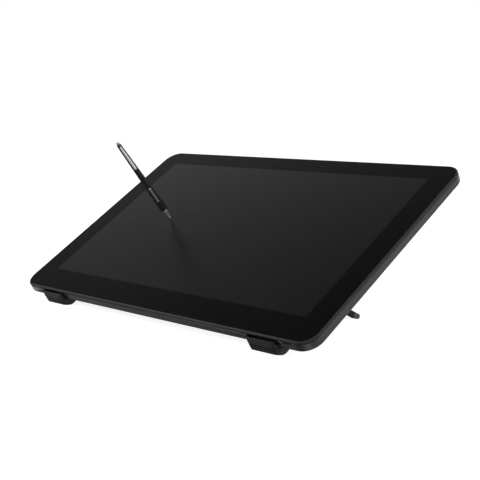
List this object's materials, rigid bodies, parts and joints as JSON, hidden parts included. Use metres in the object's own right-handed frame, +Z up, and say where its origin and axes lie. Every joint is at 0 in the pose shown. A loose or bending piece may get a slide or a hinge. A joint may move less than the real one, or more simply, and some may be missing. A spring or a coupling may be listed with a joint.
{
  "type": "graphics tablet with screen",
  "caption": "Wide drawing screen leant back on front feet and fold-out legs, with a slim stylus standing on its glass.",
  "frame": {"origin": "middle of the standing object's box, on the desk under it", "axes": "+X to the user's right along the screen's lower edge, +Y away from the user, +Z up"},
  "size_m": [0.5452, 0.2969, 0.2256],
  "materials": {
    "frame": "satin black paint",
    "glass": "etched black-bordered glass over a dark screen",
    "panel": "dark liquid crystal panel",
    "light_guide": "white light guide",
    "circuit_board": "green circuit board",
    "plate": "bare sheet",
    "case": "fine spark-eroded black",
    "button": "smooth black",
    "lens": "smoked light pipe",
    "brass": "turned",
    "dark_screw": "blackened",
    "steel": "plain",
    "rubber": "matt black",
    "foot": "matt black",
    "leg": "black paint",
    "leg_rubber": "matt dark grey",
    "film": "polyimide film",
    "pen_black": "soft-touch black",
    "pen_silver": "bright metal",
    "pen_tip": "hard black nib",
    "pen_key": "grey",
    "copper": "enamelled wire"
  },
  "bodies": {
    "tablet": {"front_frame": "frame", "cover_glass": "glass", "glass_tape": "rubber", "display_panel": "panel", "backlight_unit": "light_guide", "digitizer_board": "circuit_board", "shield_plate": "plate", "rear_cover": "case", "main_board": "circuit_board", "usb_ports": "steel", "flat_cable": "film", "switch_board": "circuit_board", "status_lens": "lens", "vesa_inserts": "brass", "case_screws": "dark_screw", "board_screws": "steel", "rear_pads": "rubber", "foot_left": "foot", "foot_right": "foot", "foot_pad_left": "rubber", "foot_pad_right": "rubber", "hinge_bracket_left": "steel", "hinge_bracket_right": "steel", "hinge_pin_left": "steel", "hinge_pin_right": "steel", "hinge_washers_left": "brass", "hinge_washers_right": "brass", "hinge_screws": "steel"},
    "leg_left": {"leg_left": "leg", "leg_tip_left": "leg_rubber"},
    "leg_right": {"leg_right": "leg", "leg_tip_right": "leg_rubber"},
    "power_button": {"power_button": "button"},
    "stylus": {"pen_barrel": "pen_black", "pen_nose": "pen_silver", "pen_trim": "pen_silver", "pen_end_cap": "pen_silver", "pen_coil": "copper", "pen_sensor": "steel", "pen_board": "circuit_board"},
    "pen_nib": {"pen_nib": "pen_tip"},
    "pen_rocker": {"pen_rocker": "pen_key"}
  },
  "joints": [
    {"name": "leg_left_fold", "type": "hinge", "parent": "tablet", "child": "leg_left", "pos_m": [-0.159, -0.04675, 0.06226], "axis": [1, 0, 0], "range_deg": [-42, 57.71]},
    {"name": "leg_right_fold", "type": "hinge", "parent": "tablet", "child": "leg_right", "pos_m": [0.159, -0.04675, 0.06226], "axis": [1, 0, 0], "range_deg": [-42, 57.71]},
    {"name": "power_button_press", "type": "slide", "parent": "tablet", "child": "power_button", "axis": [0, -0.8508, -0.5255], "range_m": [0, 0.0008], "stiffness_N_per_m": 900, "springref_m": -0.0005},
    {"name": "stylus_lift", "type": "slide", "parent": "tablet", "child": "stylus", "axis": [0, -0.5255, 0.8508], "range_m": [0, 0.06]},
    {"name": "pen_nib_press", "type": "slide", "parent": "stylus", "child": "pen_nib", "axis": [0.1607, -0.706, 0.6897], "range_m": [0, 0.0008], "stiffness_N_per_m": 1200, "springref_m": -0.0003},
    {"name": "pen_rocker_tilt", "type": "hinge", "parent": "stylus", "child": "pen_rocker", "pos_m": [-0.11335, -0.03399, 0.15067], "axis": [0.491, 0.6634, 0.5646], "range_deg": [-2, 2], "stiffness_Nm_per_rad": 0.1}
  ]
}
